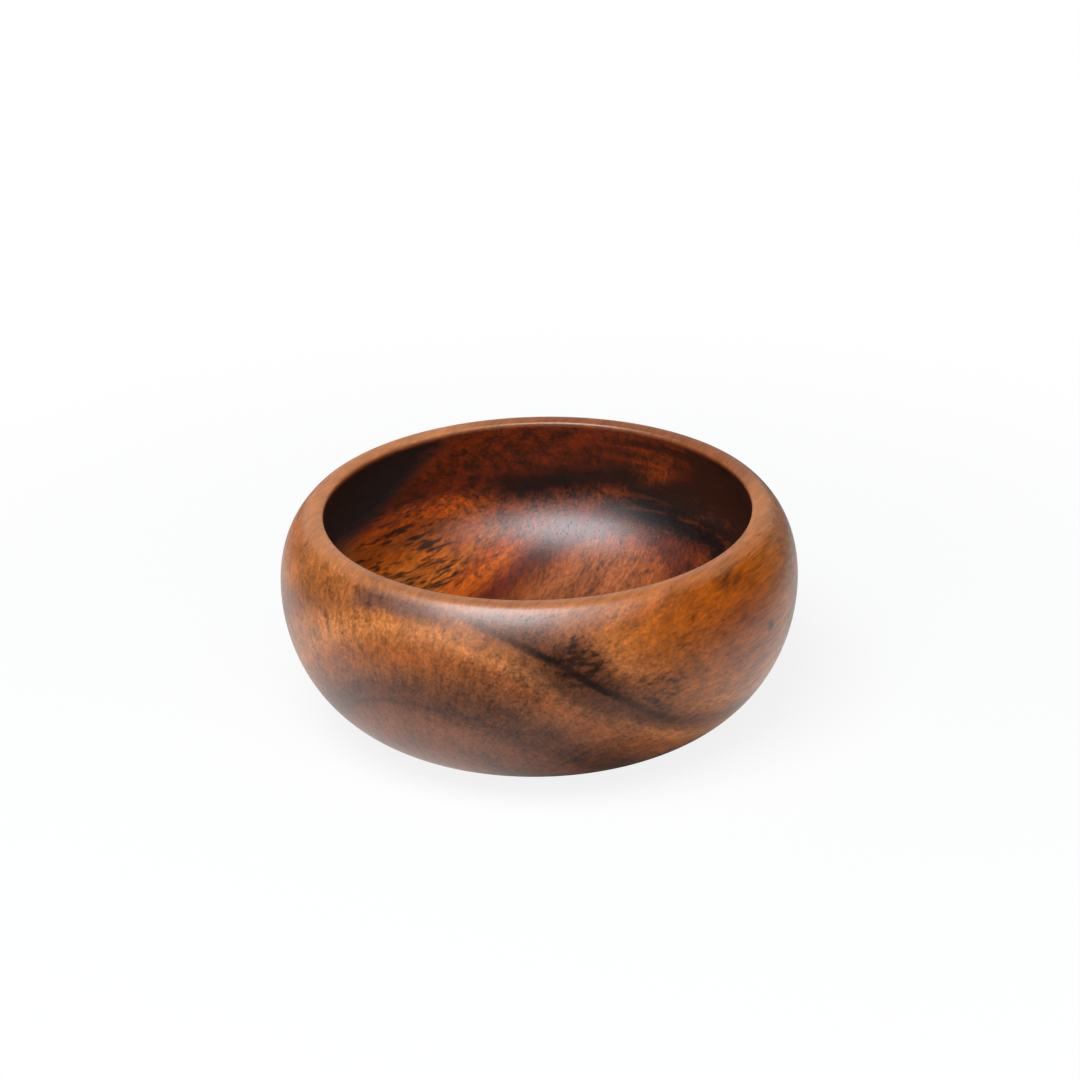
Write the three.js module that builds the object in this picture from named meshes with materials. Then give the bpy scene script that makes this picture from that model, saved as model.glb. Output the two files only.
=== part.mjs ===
// A wooden bowl turned on a lathe from one block, in the calabash form: a round belly that
// draws in at the shoulder to a narrower mouth with a softened rim, on a flat base.
// Millimetres, +Z up, origin at the centre of the base.

import * as THREE from "three";

// The outside
const BOWL_WIDTH = 152; // across the belly, the widest place
const BOWL_HEIGHT = 63.5; // to the outer edge of the rim, before that edge is rounded
const BASE_DIAMETER = 84; // of the flat that the bowl stands on
const SHOULDER_RISE = 22; // from the belly up to the rim
const SHOULDER_DRAW_IN = 9; // how far the rim's outer edge lies inside the belly
const SHOULDER_SLOPE = 43; // degrees above level, of the outer wall where it meets the rim

// The rim
const RIM_WIDTH = 4.3; // from its outer edge to the lip of the hollow
const RIM_FALL = 0.5; // how far it slopes down towards the hollow
const RIM_ROUNDING = 1.3; // how far each of its two edges is rounded back

// The hollow
const WALL_THICKNESS = 8.5; // at the belly
const FLOOR_THICKNESS = 10.5; // at the centre
const FLOOR_DIAMETER = 18; // of the level middle of the floor
const HOLLOW_SLOPE = 66; // degrees above level, of the inner wall where it meets the lip

// How full a shoulder is: the shares of its rise that its curve sets off upright from the belly,
// and that it arrives along the slope at the rim
const SHOULDER_UPRIGHT = 0.39;
const SHOULDER_LEAN = 0.24;

// Facets
const FACETS_AROUND = 80;
const FACETS_UP_WALL = 12;
const FACETS_UP_SHOULDER = 7;
const FACETS_ROUND_EDGE = 3;

// The direction that climbs inwards at a slope, in the plane of the outline: radius, height.
function climb(degrees) {
  const slope = THREE.MathUtils.degToRad(degrees);
  return new THREE.Vector2(-Math.cos(slope), Math.sin(slope));
}

// A wall from the level ground it grows out of, round a quarter of an ellipse, to upright.
function wall(levelRadius, levelHeight, widest) {
  return new THREE.EllipseCurve(
    levelRadius,
    widest.y,
    widest.x - levelRadius,
    widest.y - levelHeight,
    -Math.PI / 2,
    0,
  );
}

// A shoulder from the widest place of a wall, upright at first, leaning in to reach its top.
function shoulder(widest, top, degrees) {
  const rise = top.y - widest.y;
  const direction = climb(degrees);
  return new THREE.CubicBezierCurve(
    widest,
    new THREE.Vector2(widest.x, widest.y + SHOULDER_UPRIGHT * rise),
    top.clone().addScaledVector(direction, (-SHOULDER_LEAN * rise) / direction.y),
    top,
  );
}

// A corner rounded back by the same length along the directions that reach and leave it.
function roundedEdge(corner, reaching, leaving) {
  return new THREE.QuadraticBezierCurve(
    corner.clone().addScaledVector(reaching, -RIM_ROUNDING),
    corner,
    corner.clone().addScaledVector(leaving, RIM_ROUNDING),
  );
}

// The outline of the wood on one side of the axis: out along the base, up the outside, over the
// rim, down the hollow and back to the axis along the floor.
function bowlOutline() {
  const baseRadius = BASE_DIAMETER / 2;
  const belly = new THREE.Vector2(BOWL_WIDTH / 2, BOWL_HEIGHT - SHOULDER_RISE);
  const hollowBelly = new THREE.Vector2(belly.x - WALL_THICKNESS, belly.y);

  const rimEdge = new THREE.Vector2(belly.x - SHOULDER_DRAW_IN, BOWL_HEIGHT);
  const lip = new THREE.Vector2(rimEdge.x - RIM_WIDTH, BOWL_HEIGHT - RIM_FALL);
  const acrossRim = lip.clone().sub(rimEdge).normalize();
  const rimEdgeCurve = roundedEdge(rimEdge, climb(SHOULDER_SLOPE), acrossRim);
  const lipCurve = roundedEdge(lip, acrossRim, climb(HOLLOW_SLOPE).negate());

  const outerWall = wall(baseRadius, 0, belly);
  const outerShoulder = shoulder(belly, rimEdgeCurve.v0, SHOULDER_SLOPE);
  const hollowShoulder = shoulder(hollowBelly, lipCurve.v2, HOLLOW_SLOPE);
  const hollowWall = wall(FLOOR_DIAMETER / 2, FLOOR_THICKNESS, hollowBelly);

  return [
    new THREE.Vector2(0, 0),
    ...outerWall.getPoints(FACETS_UP_WALL),
    ...outerShoulder.getPoints(FACETS_UP_SHOULDER).slice(1),
    ...rimEdgeCurve.getPoints(FACETS_ROUND_EDGE).slice(1),
    ...lipCurve.getPoints(FACETS_ROUND_EDGE),
    ...hollowShoulder.getPoints(FACETS_UP_SHOULDER).reverse().slice(1),
    ...hollowWall.getPoints(FACETS_UP_WALL).reverse().slice(1),
    new THREE.Vector2(0, FLOOR_THICKNESS),
  ];
}

// The bowl: the outline turned round the axis, which the lathe holds along Y, then stood up on Z.
function turnedBowl() {
  const geometry = new THREE.LatheGeometry(bowlOutline(), FACETS_AROUND);
  geometry.rotateX(Math.PI / 2);
  const oiledWood = new THREE.MeshStandardMaterial({ color: "#7a4f2e", roughness: 0.42, metalness: 0 });
  const mesh = new THREE.Mesh(geometry, oiledWood);
  mesh.name = "bowl";
  return mesh;
}

const woodenBowl = new THREE.Group();
woodenBowl.add(turnedBowl());

export default woodenBowl;
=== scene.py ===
import math

import bpy
from mathutils import Matrix, Vector


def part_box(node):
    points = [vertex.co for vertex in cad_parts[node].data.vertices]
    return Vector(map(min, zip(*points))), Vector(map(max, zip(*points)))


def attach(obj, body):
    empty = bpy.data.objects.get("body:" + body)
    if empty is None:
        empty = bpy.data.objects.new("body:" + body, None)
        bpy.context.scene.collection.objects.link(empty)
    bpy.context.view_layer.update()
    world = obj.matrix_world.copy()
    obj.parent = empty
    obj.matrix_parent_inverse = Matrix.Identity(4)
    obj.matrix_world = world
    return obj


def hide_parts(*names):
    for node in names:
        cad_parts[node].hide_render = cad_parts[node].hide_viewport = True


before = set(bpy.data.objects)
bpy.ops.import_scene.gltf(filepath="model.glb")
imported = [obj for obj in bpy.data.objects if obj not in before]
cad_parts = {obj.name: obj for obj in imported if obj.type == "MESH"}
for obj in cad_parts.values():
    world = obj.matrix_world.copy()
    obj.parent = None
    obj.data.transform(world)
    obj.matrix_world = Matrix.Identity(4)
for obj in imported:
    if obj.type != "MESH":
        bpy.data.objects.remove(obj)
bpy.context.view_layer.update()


# Camera
# The view of the photograph: from in front and about 25 degrees above level, through a long lens
# about a metre away. The picture is rolled a little, so that the bowl's right side stands higher.
LOOK_AT = Vector((0.0005, 0, 0.0521))  # on the bowl's axis, at the middle of the picture
VIEW_RISE = math.radians(24.8)
VIEW_DISTANCE = 1.0596
VIEW_ROLL = math.radians(-1.48)
LENS = 120.45  # focal length in millimetres
SENSOR_WIDTH = 36  # in millimetres

backwards = Vector((0, -math.cos(VIEW_RISE), math.sin(VIEW_RISE)))
level_right = Vector((1, 0, 0))
level_up = backwards.cross(level_right)
right = math.cos(VIEW_ROLL) * level_right + math.sin(VIEW_ROLL) * level_up
upwards = backwards.cross(right)
camera = bpy.data.objects.new("camera", bpy.data.cameras.new("camera"))
camera.data.sensor_width = SENSOR_WIDTH
camera.data.lens = LENS
camera.matrix_world = Matrix((right, upwards, backwards)).transposed().to_4x4()
camera.matrix_world.translation = LOOK_AT + VIEW_DISTANCE * backwards
bpy.context.collection.objects.link(camera)
bpy.context.scene.camera = camera


# Bowl
# One block of streaked hardwood, turned on a lathe inside and out to a full belly and a shoulder
# drawn in to a narrow rim, sanded by hand and given a thin satin clear finish. Nothing is fixed to it.
bowl_low, bowl_high = (Vector(corner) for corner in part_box("bowl"))
BELLY_RADIUS = (bowl_high.x - bowl_low.x) / 2
RIM_HEIGHT = 0.0635  # of the rim's outer edge, before that edge is rounded
BASE_RADIUS = 0.042  # of the flat that the bowl stands on
SHOULDER_RISE = 0.022  # from the belly up to the rim
SHOULDER_DRAW_IN = 0.009  # how far the rim's outer edge lies inside the belly
SHOULDER_SLOPE = math.radians(43)  # of the outer wall where it meets the rim
RIM_WIDTH = 0.0050  # from its outer edge to the lip, a little more than on the solid
RIM_FALL = 0.0005  # how far it slopes down towards the hollow
RIM_ROUNDING = 0.0019  # how far its edges are rounded back, softer than on the solid
WALL_THICKNESS = 0.0085  # at the belly
FLOOR_THICKNESS = 0.0105  # at the centre
FLOOR_RADIUS = 0.009  # of the level middle of the floor
HOLLOW_SLOPE = math.radians(66)  # of the inner wall where it meets the lip
SHOULDER_UPRIGHT = 0.39  # share of a shoulder's rise that its curve sets off upright
SHOULDER_LEAN = 0.24  # share of the rise that it arrives along its slope
EDGE_STEPS = 8  # along each edge of the rim
OUTER_WALL_STEPS = 44
OUTER_SHOULDER_STEPS = 26
HOLLOW_WALL_STEPS = 48
HOLLOW_SHOULDER_STEPS = 24
STEPS_AROUND = 480


def climb(slope):
    """The direction, as radius and height, that climbs inwards at a slope."""
    return Vector((-math.cos(slope), math.sin(slope)))


def wall(level_radius, level_height, widest, steps):
    """A quarter of an ellipse from the level ground that a wall grows out of to its widest place."""
    points = []
    for step in range(steps + 1):
        turn = math.pi / 2 * step / steps
        outwards = (widest.x - level_radius) * math.sin(turn)
        down = (widest.y - level_height) * math.cos(turn)
        points.append(Vector((level_radius + outwards, widest.y - down)))
    return points


def curve(corners, steps):
    """A Bezier curve through its first and last corner, with two or three sides."""
    points = []
    for step in range(steps + 1):
        share = step / steps
        row = corners
        while len(row) > 1:
            row = [a.lerp(b, share) for a, b in zip(row, row[1:])]
        points.append(row[0])
    return points


def shoulder(widest, top, slope, steps):
    """A wall from its widest place up to the rim: upright at first, then leaning in."""
    rise = top.y - widest.y
    upright = Vector((widest.x, widest.y + SHOULDER_UPRIGHT * rise))
    lean = top - climb(slope) * (SHOULDER_LEAN * rise / math.sin(slope))
    return curve([widest, upright, lean, top], steps)


def rounded_edge(corner, reaching, leaving, steps):
    """A corner of the rim, rounded back along the directions that reach and leave it."""
    return curve([corner - reaching * RIM_ROUNDING, corner, corner + leaving * RIM_ROUNDING], steps)


def bowl_outline():
    """From the middle of the base round the outside, over the rim and down to the floor's middle."""
    belly = Vector((BELLY_RADIUS, RIM_HEIGHT - SHOULDER_RISE))
    hollow_belly = Vector((belly.x - WALL_THICKNESS, belly.y))
    rim_edge = Vector((belly.x - SHOULDER_DRAW_IN, RIM_HEIGHT))
    lip = Vector((rim_edge.x - RIM_WIDTH, RIM_HEIGHT - RIM_FALL))
    across_rim = (lip - rim_edge).normalized()
    rim_curve = rounded_edge(rim_edge, climb(SHOULDER_SLOPE), across_rim, EDGE_STEPS)
    lip_curve = rounded_edge(lip, across_rim, -climb(HOLLOW_SLOPE), EDGE_STEPS)
    base = [Vector((BASE_RADIUS * share, 0)) for share in (0, 0.25, 0.5, 0.75)]
    floor = [Vector((FLOOR_RADIUS * share, FLOOR_THICKNESS)) for share in (0.5, 0)]
    outside = wall(BASE_RADIUS, 0, belly, OUTER_WALL_STEPS)
    outside += shoulder(belly, rim_curve[0], SHOULDER_SLOPE, OUTER_SHOULDER_STEPS)[1:]
    hollow = wall(FLOOR_RADIUS, FLOOR_THICKNESS, hollow_belly, HOLLOW_WALL_STEPS)
    hollow += shoulder(hollow_belly, lip_curve[-1], HOLLOW_SLOPE, HOLLOW_SHOULDER_STEPS)[1:]
    return base + outside + rim_curve[1:] + lip_curve + hollow[-2::-1] + floor


def turned(name, outline, around):
    """The outline turned round Z into a closed mesh; its first and last points lie on the axis."""
    vertices = [(0, 0, outline[0].y)]
    for point in outline[1:-1]:
        for step in range(around):
            turn = 2 * math.pi * step / around
            vertices.append((point.x * math.cos(turn), point.x * math.sin(turn), point.y))
    vertices.append((0, 0, outline[-1].y))
    rows = len(outline) - 2
    faces = []
    for step in range(around):
        following = (step + 1) % around
        faces.append((0, 1 + following, 1 + step))
        for row in range(rows - 1):
            here = 1 + row * around
            above = here + around
            faces.append((here + step, here + following, above + following, above + step))
        last = 1 + (rows - 1) * around
        faces.append((last + step, last + following, len(vertices) - 1))
    mesh = bpy.data.meshes.new(name)
    mesh.from_pydata(vertices, [], faces)
    mesh.shade_smooth()
    piece = bpy.data.objects.new(name, mesh)
    bpy.context.collection.objects.link(piece)
    return piece


class Field:
    """A value that varies through a material; sums and products of it add Math nodes."""

    def __init__(self, tree, socket=None):
        self.tree = tree
        self.socket = socket

    def add(self, kind, settings, inputs, output=0):
        """Adds a node, sets it up, feeds its sockets and gives one of its outputs."""
        node = self.tree.nodes.new(kind)
        for name, setting in settings.items():
            if name == "stops":
                stops = node.color_ramp.elements
                while len(stops) < len(setting):
                    stops.new(0.5)
                for stop, (position, colour) in zip(stops, setting):
                    stop.position = position
                    stop.color = (*colour, 1)
            else:
                setattr(node, name, setting)
        for name, value in inputs.items():
            if isinstance(value, Field):
                self.tree.links.new(value.socket, node.inputs[name])
            else:
                node.inputs[name].default_value = value
        return Field(self.tree, node.outputs[output] if node.outputs else None)

    def math(self, operation, *values):
        return self.add("ShaderNodeMath", {"operation": operation}, dict(enumerate(values)))

    def __add__(self, other):
        return self.math("ADD", self, other)

    def __sub__(self, other):
        return self.math("SUBTRACT", self, other)

    def __rsub__(self, other):
        return self.math("SUBTRACT", other, self)

    def __mul__(self, other):
        return self.math("MULTIPLY", self, other)

    def __truediv__(self, other):
        return self.math("DIVIDE", self, other)

    def __pow__(self, other):
        return self.math("POWER", self, other)

    __radd__ = __add__
    __rmul__ = __mul__

    def size(self):
        return self.math("ABSOLUTE", self)

    def fade(self, start, end):
        """From 0 at the start to 1 at the end, easing in and out."""
        settings = {"interpolation_type": "SMOOTHSTEP"}
        inputs = {"Value": self, "From Min": start, "From Max": end}
        return self.add("ShaderNodeMapRange", settings, inputs)

    def blend(self, first, second, mode="MIX"):
        """The first colour where this is 0, the second (or their product) where it is 1."""
        settings = {"data_type": "RGBA", "blend_type": mode}
        return self.add("ShaderNodeMix", settings, {0: self, 6: first, 7: second}, 2)


def wood_material():
    """Streaked hardwood all through the block: growth layers round a pith below the bowl, fibres
    along it, open pores, and a satin clear finish."""
    FIBRE_HEADING = math.radians(61.6)  # from the right, towards the back
    PITH_ACROSS = 0.0022  # how far the pith passes beside the bowl's axis
    PITH_HEIGHT = -0.013  # below the base
    LAYER_TAPER = 0.035  # how much the layers widen along the fibres
    # black of the heart, and of the painted shade below the far rim
    HEART_AND_SHADE_BLACK = (0.004, 0.0008, 0.0004, 1)
    PORE_BLACK = (0.006, 0.002, 0.001, 1)
    FLECK_BROWN = (0.018, 0.005, 0.001, 1)
    SMOKE_BROWN = (0.085, 0.020, 0.003, 1)
    # paler tan of the painted sheen on the rim
    RIM_SHEEN_TAN = (0.58, 0.215, 0.080, 1)
    DARKEST_SHADE = 0.15  # least share of its layer's colour that the figure leaves

    material = bpy.data.materials.new("satin_streaked_hardwood")
    material.use_nodes = True
    material.node_tree.nodes.clear()
    wood = Field(material.node_tree)
    place = wood.add("ShaderNodeTexCoord", {}, {}, "Object")
    fibre = (math.cos(FIBRE_HEADING), math.sin(FIBRE_HEADING), 0)
    athwart = (-math.sin(FIBRE_HEADING), math.cos(FIBRE_HEADING), 0)
    dot = {"operation": "DOT_PRODUCT"}
    along = wood.add("ShaderNodeVectorMath", dot, {0: place, 1: fibre}, "Value")
    across = wood.add("ShaderNodeVectorMath", dot, {0: place, 1: athwart}, "Value")
    height = wood.add("ShaderNodeSeparateXYZ", {}, {0: place}, "Z")
    flat = wood.add("ShaderNodeVectorMath", {"operation": "MULTIPLY"}, {0: place, 1: (1, 1, 0)})
    from_axis = wood.add("ShaderNodeVectorMath", {"operation": "LENGTH"}, {0: flat}, "Value")

    def noise(stretch, size, detail=2, roughness=0.5):
        """A random texture, drawn out along the fibres."""
        spot = wood.add("ShaderNodeCombineXYZ", {}, {"X": along / stretch, "Y": across, "Z": height})
        inputs = {"Vector": spot, "Scale": 1 / size, "Detail": detail, "Roughness": roughness}
        return wood.add("ShaderNodeTexNoise", {}, inputs)

    def strokes(way, stretch, size):
        """A random texture, drawn out in short strokes along a way of its own."""
        reach = wood.add("ShaderNodeVectorMath", dot, {0: place, 1: way}, "Value")
        scale = {"operation": "SCALE"}
        pull = wood.add("ShaderNodeVectorMath", scale, {0: way, "Scale": reach * (1 / stretch - 1)})
        spot = wood.add("ShaderNodeVectorMath", {"operation": "ADD"}, {0: place, 1: pull})
        inputs = {"Vector": spot, "Scale": 1 / size, "Detail": 2, "Roughness": 0.6}
        return wood.add("ShaderNodeTexNoise", {}, inputs)

    # Growth layers by their radius from the pith, and places along and across the fibres, all a
    # little unsteady so that every edge in the wood wanders and frays
    sway = noise(3, 0.028, 1) - 0.5
    waver = noise(4, 0.007) - 0.5
    fray = noise(6, 0.0010) - 0.5
    ring = ((across - PITH_ACROSS) ** 2 + (height - PITH_HEIGHT) ** 2) ** 0.5 - along * LAYER_TAPER
    even_ring = ring + sway * 0.002 + waver * 0.0014 + fray * 0.0008
    ring = ring + sway * 0.003 + waver * 0.0026 + fray * 0.0026
    drift = sway * 0.010 + waver * 0.010 + fray * 0.008
    lengthwise = along + drift
    sideways = across + drift

    def layered(radius, layers):
        """A colour for each radius of the growth layers, in order from the pith outwards."""
        innermost = layers[0][0]
        reach = layers[-1][0] - innermost
        stops = [((edge - innermost) / reach, colour) for edge, colour in layers]
        return wood.add("ShaderNodeValToRGB", {"stops": stops}, {"Fac": (radius - innermost) / reach})

    def layer(radius, half_width, softness):
        """1 within a growth layer, fading out beyond its faces."""
        return 1 - (ring - radius).size().fade(half_width, half_width + softness)

    def around(spot, reach):
        """1 at a spot of the block, fading out to its reach."""
        apart = {"operation": "DISTANCE"}
        distance = wood.add("ShaderNodeVectorMath", apart, {0: place, 1: spot}, "Value")
        return 1 - (distance + (waver + fray) * (0.6 * reach)).fade(0.2 * reach, reach)

    # Growth layers towards the near end of the fibres, in the middle, and at their far end
    skew = wood.math("MAXIMUM", across + 0.008, -0.012) * (1 - ring.fade(0.064, 0.074)) * 0.12
    near = layered(ring + skew, [
        (0.0200, (0.24, 0.074, 0.027)), (0.0350, (0.20, 0.055, 0.013)), (0.0420, (0.25, 0.066, 0.016)),
        (0.0470, (0.19, 0.046, 0.006)), (0.0500, (0.13, 0.029, 0.002)), (0.0560, (0.15, 0.036, 0.005)),
        (0.0590, (0.22, 0.058, 0.009)), (0.0630, (0.32, 0.078, 0.009)), (0.0670, (0.36, 0.090, 0.012)),
        (0.0710, (0.54, 0.170, 0.036)), (0.0740, (0.38, 0.115, 0.024)), (0.0775, (0.29, 0.084, 0.020)),
        (0.0810, (0.34, 0.098, 0.018)), (0.0850, (0.48, 0.140, 0.026)), (0.0920, (0.48, 0.130, 0.018)),
        (0.0980, (0.46, 0.110, 0.006)),
    ])
    middle = layered(ring, [
        (0.0200, (0.29, 0.078, 0.024)), (0.0330, (0.30, 0.076, 0.018)), (0.0365, (0.22, 0.042, 0.004)),
        (0.0400, (0.11, 0.012, 0.001)), (0.0425, (0.13, 0.015, 0.001)), (0.0450, (0.34, 0.055, 0.001)),
        (0.0475, (0.48, 0.085, 0.001)), (0.0510, (0.36, 0.055, 0.001)), (0.0550, (0.48, 0.115, 0.008)),
        (0.0600, (0.40, 0.080, 0.004)), (0.0665, (0.56, 0.125, 0.006)), (0.0700, (0.44, 0.085, 0.002)),
        (0.0735, (0.30, 0.040, 0.000)), (0.0775, (0.16, 0.017, 0.000)), (0.0870, (0.14, 0.019, 0.000)),
        (0.0930, (0.42, 0.120, 0.020)), (0.1000, (0.48, 0.150, 0.030)),
    ])
    end = layered(ring, [
        (0.0300, (0.36, 0.090, 0.022)), (0.0340, (0.35, 0.078, 0.011)), (0.0372, (0.28, 0.052, 0.005)),
        (0.0392, (0.13, 0.018, 0.002)), (0.0430, (0.11, 0.014, 0.001)), (0.0500, (0.18, 0.027, 0.003)),
    ])
    colour = lengthwise.fade(0.002, 0.026).blend(near, middle)
    colour = lengthwise.fade(0.042, 0.056).blend(colour, end)
    ruddy = (1 - sideways.fade(-0.064, -0.050)) * (1 - lengthwise.fade(-0.010, 0.008))
    ruddy = ruddy * ring.fade(0.074, 0.082)
    colour = ruddy.blend(colour, (0.82, 0.68, 0.15, 1), "MULTIPLY")
    tan = (1 - height.fade(0.024, 0.038)) * (1 - sideways.fade(-0.068, -0.056))
    tan = tan * ring.fade(0.077, 0.082)
    colour = (tan * (1 - lengthwise.fade(0.010, 0.030)) * 0.8).blend(colour, (0.50, 0.140, 0.012, 1))

    # Layers that lie almost level where they reach the hollow's left and far wall
    hollow = (1 - height.fade(0.0600, 0.0622)) * (1 - from_axis.fade(0.0676, 0.0690))
    level = height + sway * 0.006 + waver * 0.004 + fray * 0.003
    left = layered(level, [
        (0.0240, (0.58, 0.122, 0.002)), (0.0275, (0.42, 0.080, 0.001)), (0.0300, (0.27, 0.050, 0.001)),
        (0.0330, (0.30, 0.052, 0.001)), (0.0360, (0.40, 0.065, 0.001)), (0.0385, (0.32, 0.047, 0.001)),
        (0.0410, (0.16, 0.017, 0.000)), (0.0450, (0.12, 0.013, 0.000)), (0.0500, (0.17, 0.022, 0.000)),
        (0.0580, (0.26, 0.038, 0.000)),
    ])
    far = layered(level + across * 0.08, [
        (0.0360, (0.15, 0.025, 0.001)), (0.0385, (0.11, 0.017, 0.000)), (0.0405, (0.065, 0.009, 0.000)),
        (0.0425, (0.010, 0.001, 0.000)), (0.0460, (0.006, 0.001, 0.000)), (0.0480, (0.045, 0.004, 0.000)),
        (0.0510, (0.110, 0.012, 0.000)), (0.0540, (0.110, 0.012, 0.000)), (0.0575, (0.170, 0.020, 0.000)),
        (0.0630, (0.220, 0.030, 0.000)),
    ])
    walled = sideways.fade(0.038, 0.056).blend(far, left)
    up_wall = sideways.fade(0.036, 0.056) * level.fade(0.0225, 0.0265)
    up_wall = wood.math("MAXIMUM", up_wall, level.fade(0.0320, 0.0360)) * lengthwise.fade(-0.004, 0.010)
    colour = (up_wall * hollow).blend(colour, walled)
    golden = around((0.0374, 0.0553, 0.0510), 0.0115)
    colour = (golden * 0.75).blend(colour, (0.28, 0.042, 0.001, 1))

    # Black heart in the hollow's right wall and in its left wall, and painted shade, as black, in a strip
    # below the far rim where the lip overhangs
    tongue = wood.math("MINIMUM", ring - 0.062, 0) * 1.85
    right_heart = 1 - (sideways + tongue).fade(-0.023, -0.015)
    right_heart = right_heart * (level - across * 0.09).fade(0.0295, 0.0340)
    right_heart = right_heart * lengthwise.fade(0.030, 0.045)
    streaky = noise(9, 0.004, 3, 0.6) - 0.5
    left_heart = 1 - (lengthwise - (ring - 0.082) * 2.4 + streaky * 0.020).fade(0.014, 0.038)
    left_heart = left_heart * sideways.fade(0.030, 0.040) * (ring + streaky * 0.004).fade(0.0790, 0.0850)
    # painted shade: a black strip just below the far lip, where it overhangs the hollow
    lip_shade = (1 - (level - 0.0580).size().fade(0.0006, 0.0026)) * (1 - sideways.fade(0.002, 0.012))
    lip_shade = lip_shade * lengthwise.fade(0.045, 0.055) * 0.8
    heart_and_lip_shade = wood.math("MAXIMUM", wood.math("MAXIMUM", right_heart, left_heart), lip_shade) * hollow
    gaps = strokes(athwart, 10, 0.003).fade(0.52, 0.72) * right_heart
    colour = (heart_and_lip_shade * (0.98 - gaps * 0.32)).blend(colour, HEART_AND_SHADE_BLACK)

    # Smoke down across the front, dusk above it, a grey haze that carries the black line on to the
    # left, the line itself, and one fine dark streak lower down
    front = 1 - lengthwise.fade(-0.042, -0.020)
    narrowing = wood.math("MAXIMUM", -0.050 - across, 0) * 0.42
    smoke = (ring - narrowing).fade(0.0665, 0.0715) * (1 - (ring + narrowing).fade(0.0785, 0.0860))
    smoke = smoke * (1 - sideways.fade(-0.044, -0.020))
    colour = (smoke * front * 0.85).blend(colour, SMOKE_BROWN)
    dusk = ring.fade(0.0765, 0.0790) * (1 - sideways.fade(-0.020, -0.006)) * sideways.fade(-0.054, -0.044)
    colour = (dusk * front * 0.55).blend(colour, (0.13, 0.034, 0.012, 1))
    haze = layer(0.0764, 0.0010, 0.0026) * sideways.fade(-0.014, 0.002)
    haze = haze * (1 - sideways.fade(0.016, 0.028))
    colour = (haze * front * 0.8).blend(colour, (0.13, 0.052, 0.034, 1))
    strength = (1 - sideways.fade(-0.030, 0.004)) * 0.6 + (1 - sideways.fade(-0.036, -0.026)) * 0.38
    strength = strength - (1 - sideways.fade(-0.058, -0.046)) * 0.60
    bent = even_ring + (1 - across.fade(-0.065, -0.035)) * 0.0011
    line = 1 - (bent - 0.0772).size().fade(0.0003, 0.0016)
    colour = (line * strength * front).blend(colour, PORE_BLACK)
    streak = 1 - (ring + across * 0.115 - 0.0490).size().fade(0.0002, 0.0009)
    streak = streak * sideways.fade(-0.030, -0.018) * (1 - sideways.fade(0.014, 0.024)) * front
    colour = (streak * 0.5).blend(colour, (0.06, 0.012, 0.001, 1))

    # Flecks: dense beside the line, fewer to its right, and in long dashes in the hollow's left
    flecked = around((0.0110, -0.0740, 0.0495), 0.0130) * (1 - ring.fade(0.0818, 0.0858)) * 1.2
    flecked = flecked + around((0.0330, -0.0680, 0.0367), 0.012) * 0.5
    colour = (flecked * 0.28).blend(colour, (0.10, 0.022, 0.002, 1))
    fleck = strokes((0.87, 0.42, 0.24), 2.6, 0.0015) + flecked * 0.11
    fleck = fleck.fade(0.52, 0.73) * flecked.fade(0.05, 0.45)
    dashed = around((-0.0430, 0.0440, 0.0280), 0.026)
    dash = strokes((0.73, 0.68, 0), 7, 0.0015) + dashed * 0.07
    dash = dash.fade(0.54, 0.69) * dashed.fade(0.05, 0.4)
    fleck = wood.math("MAXIMUM", fleck * 0.85, dash * 0.9)
    colour = fleck.blend(colour, FLECK_BROWN)
    smudge = around((0.0525, -0.0440, 0.0622), 0.010) + around((0.0657, -0.0383, 0.0412), 0.003)
    colour = (smudge * noise(6, 0.0022).fade(0.30, 0.55) * 0.95).blend(colour, (0.08, 0.018, 0.002, 1))

    # The rim, painted a paler tan: a painted sheen of light on its top, strongest on the left and weakest
    # at the far side
    rim = height.fade(0.0606, 0.0628)
    rim_sheen = 0.5 + sideways.fade(0.020, 0.055) * 0.3 - lengthwise.fade(0.030, 0.060) * 0.15
    colour = (rim * rim_sheen).blend(colour, RIM_SHEEN_TAN)

    # Mottle, rays out from the pith, fine fibres, bands in the far wall, a duller stretch down the
    # front, and open pores
    mottle = noise(5, 0.007, 3)
    grit = noise(7, 0.0020, 3, 0.6)
    grain = noise(8, 0.0008, 2, 0.6)
    bearing = wood.math("ARCTAN2", across - PITH_ACROSS, height - PITH_HEIGHT)
    inputs = {"X": bearing * 0.06, "Y": ring * 0.1, "Z": along * 0.15}
    ray_place = wood.add("ShaderNodeCombineXYZ", {}, inputs)
    inputs = {"Vector": ray_place, "Scale": 1 / 0.0011, "Detail": 2}
    rays = wood.add("ShaderNodeTexNoise", {}, inputs)
    figure = (mottle - 0.5) * 0.9 + (grit - 0.5) * 1.3 + (grain - 0.5) * 1.4 + (rays - 0.5) * 0.7
    far_off = hollow * lengthwise.fade(0.010, 0.045) * (0.4 + level.fade(0.030, 0.038) * 0.8)
    lively = 1 + far_off + around((-0.0560, -0.0460, 0.0568), 0.018) * 0.3
    lively = lively + layer(0.0525, 0.004, 0.004) * 0.3
    lively = lively * (1 - rim * 0.45)
    bands = (strokes(athwart, 9, 0.003) - 0.5) * level.fade(0.030, 0.038)
    bands = bands * lengthwise.fade(0.030, 0.050) * 3.0
    dim = 1 - (sideways + 0.026).size().fade(0.004, 0.018)
    shade = 1 + figure * lively + bands * hollow - dim * front * (1 - rim) * 0.17
    shade = wood.math("MAXIMUM", shade, DARKEST_SHADE)
    colour = wood.add("ShaderNodeVectorMath", {"operation": "SCALE"}, {0: colour, "Scale": shade})
    pores = noise(9, 0.0006, 1).fade(0.58, 0.78)
    pore_depth = 0.25 + (1 - sideways.fade(-0.060, -0.035)) * 0.15
    colour = (pores * pore_depth).blend(colour, PORE_BLACK)

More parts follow.
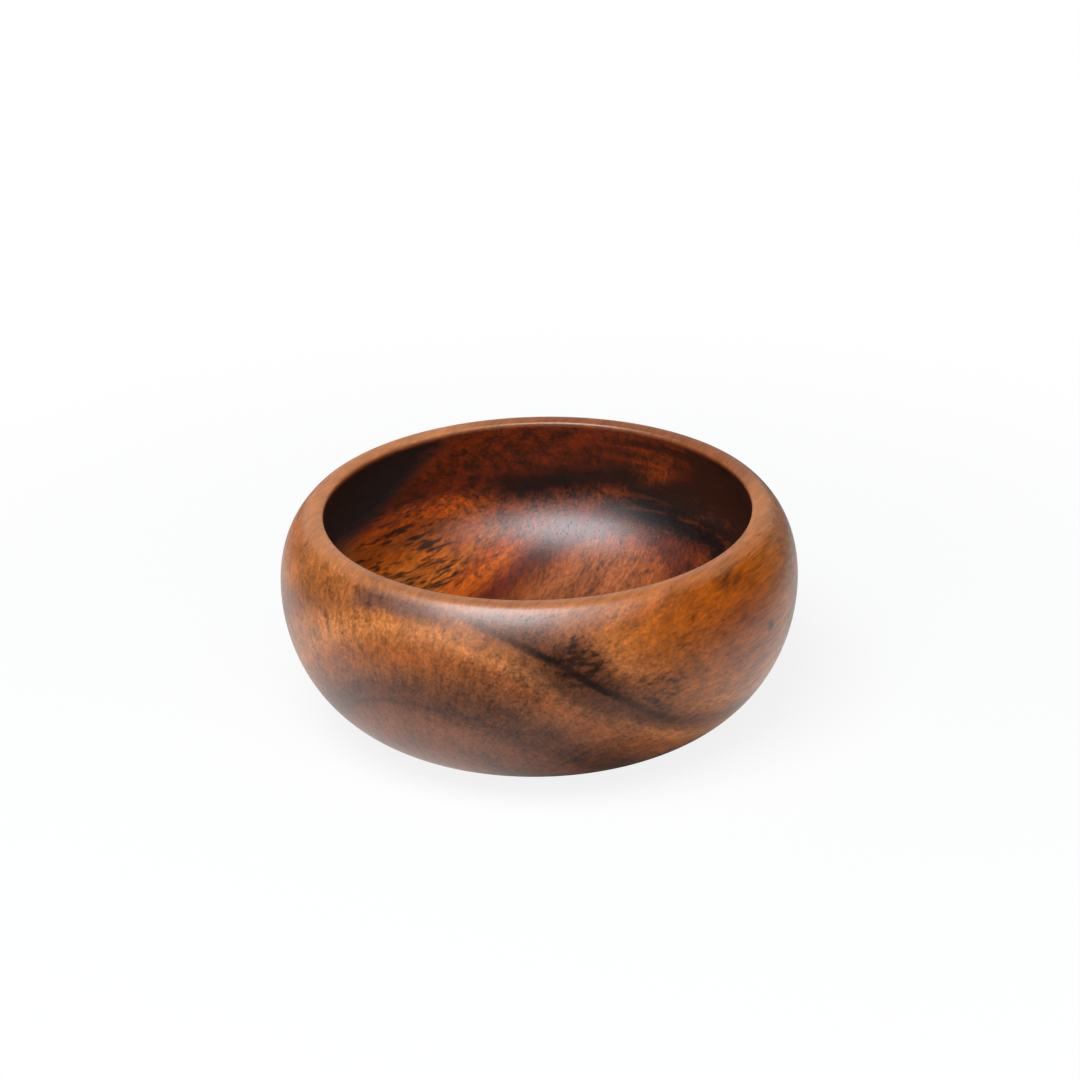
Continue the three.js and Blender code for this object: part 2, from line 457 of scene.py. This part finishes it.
    inputs = {"Height": grain * 0.2 - pores, "Distance": 0.00006, "Strength": 0.4}
    relief = wood.add("ShaderNodeBump", {}, inputs)
    roughness = 0.32 + mottle * 0.08 + pores * 0.1 + left_heart * hollow * 0.5
    inputs = {"Base Color": colour, "Roughness": roughness, "Specular IOR Level": 0.9, "Normal": relief}
    shader = wood.add("ShaderNodeBsdfPrincipled", {}, inputs)
    wood.add("ShaderNodeOutputMaterial", {}, {"Surface": shader})
    return material


bowl = turned("turned_bowl", bowl_outline(), STEPS_AROUND)
bowl.data.materials.append(wood_material())
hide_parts("bowl")
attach(bowl, "root")


# Floor
# A plain white table top that the bowl stands on. It isn't part of the object.
TABLE_RADIUS = 1.5
TABLE_WHITE = (0.85, 0.85, 0.85, 1)


def floor_material():
    """Matt white, almost as bright to the camera as the background. Mirrored in the bowl's finish it
    is a pool of light beside and behind the bowl, dim in front and further out."""
    material = bpy.data.materials.new("white_table")
    material.use_nodes = True
    material.node_tree.nodes.clear()
    table = Field(material.node_tree)
    place = table.add("ShaderNodeTexCoord", {}, {}, "Object")
    depth = table.add("ShaderNodeSeparateXYZ", {}, {0: place}, "Y")

    def away(spot):
        """How far a place on the table is from a spot."""
        return table.add("ShaderNodeVectorMath", {"operation": "DISTANCE"}, {0: place, 1: spot}, "Value")

    pool = 1 - away((-0.02, 0.06, 0)).fade(0.12, 0.34) * 0.9
    front = 1 - depth.fade(-0.150, -0.030)
    shadow = 1 - away((0.028, -0.050, 0)).fade(0.012, 0.065)
    sheen = pool * (1 - front * 0.97) * (1 - shadow * 0.9)
    seen = table.add("ShaderNodeLightPath", {}, {}, "Is Camera Ray")
    mirrored = table.add("ShaderNodeLightPath", {}, {}, "Is Glossy Ray")
    matt = table.add("ShaderNodeBsdfDiffuse", {}, {"Color": TABLE_WHITE})
    white = table.add("ShaderNodeEmission", {}, {"Color": mirrored.blend((1, 1, 1, 1), sheen)})
    bright = seen * (0.86 + away((0, 0, 0)).fade(0.10, 0.34) * 0.14)
    shown = table.add("ShaderNodeMixShader", {}, {0: bright + mirrored, 1: matt, 2: white})
    table.add("ShaderNodeOutputMaterial", {}, {"Surface": shown})
    return material


bpy.ops.mesh.primitive_circle_add(vertices=128, radius=TABLE_RADIUS, fill_type="NGON")
floor = bpy.context.object
floor.name = "floor"
floor.data.materials.append(floor_material())


# Light
# Four soft lamps: the main one overhead, to the left and towards the camera, a broader, dimmer one
# nearer the camera, a small one on the right and a faint low one on the left. The studio is white
# to the camera, and to the bowl it is pale behind and dim above and in front.
LAMP_COLOUR = (0.90, 0.95, 1)
LAMPS_AIM = Vector((0, 0, 0.03))


def soft_lamp(name, location, width, depth, watts):
    lamp = bpy.data.objects.new(name, bpy.data.lights.new(name, "AREA"))
    lamp.data.shape = "RECTANGLE"
    lamp.data.size = width
    lamp.data.size_y = depth
    lamp.data.energy = watts
    lamp.data.color = LAMP_COLOUR
    lamp.location = location
    lamp.rotation_euler = (LAMPS_AIM - lamp.location).to_track_quat("-Z", "Y").to_euler()
    bpy.context.collection.objects.link(lamp)


soft_lamp("overhead", (-0.26, -0.46, 1.04), 0.80, 0.64, 13.2)
soft_lamp("surround", (-0.26, -1.00, 1.20), 1.5, 1.0, 5.5)
soft_lamp("right", (0.42, -0.60, 1.05), 0.60, 0.50, 2.0)
soft_lamp("low_left", (-0.80, -1.00, 0.55), 0.80, 0.42, 1.4)

studio = bpy.data.worlds.new("studio")
studio.use_nodes = True
studio.node_tree.nodes.clear()
sky = Field(studio.node_tree)
direction = sky.add("ShaderNodeTexCoord", {}, {}, "Generated")
backwall = sky.add("ShaderNodeSeparateXYZ", {}, {0: direction}, "Y").fade(0.5, 0.95)
climbing = sky.add("ShaderNodeSeparateXYZ", {}, {0: direction}, "Z")
seen = sky.add("ShaderNodeLightPath", {}, {}, "Is Camera Ray")
glow = 0.005 + (1 - climbing.fade(0.42, 0.56)) * (0.006 + backwall * 0.48)
inputs = {"Color": (1, 1, 1, 1), "Strength": seen + (1 - seen) * glow}
background = sky.add("ShaderNodeBackground", {}, inputs)
sky.add("ShaderNodeOutputWorld", {}, {"Surface": background})
bpy.context.scene.world = studio
bpy.context.scene.view_settings.view_transform = "Standard"
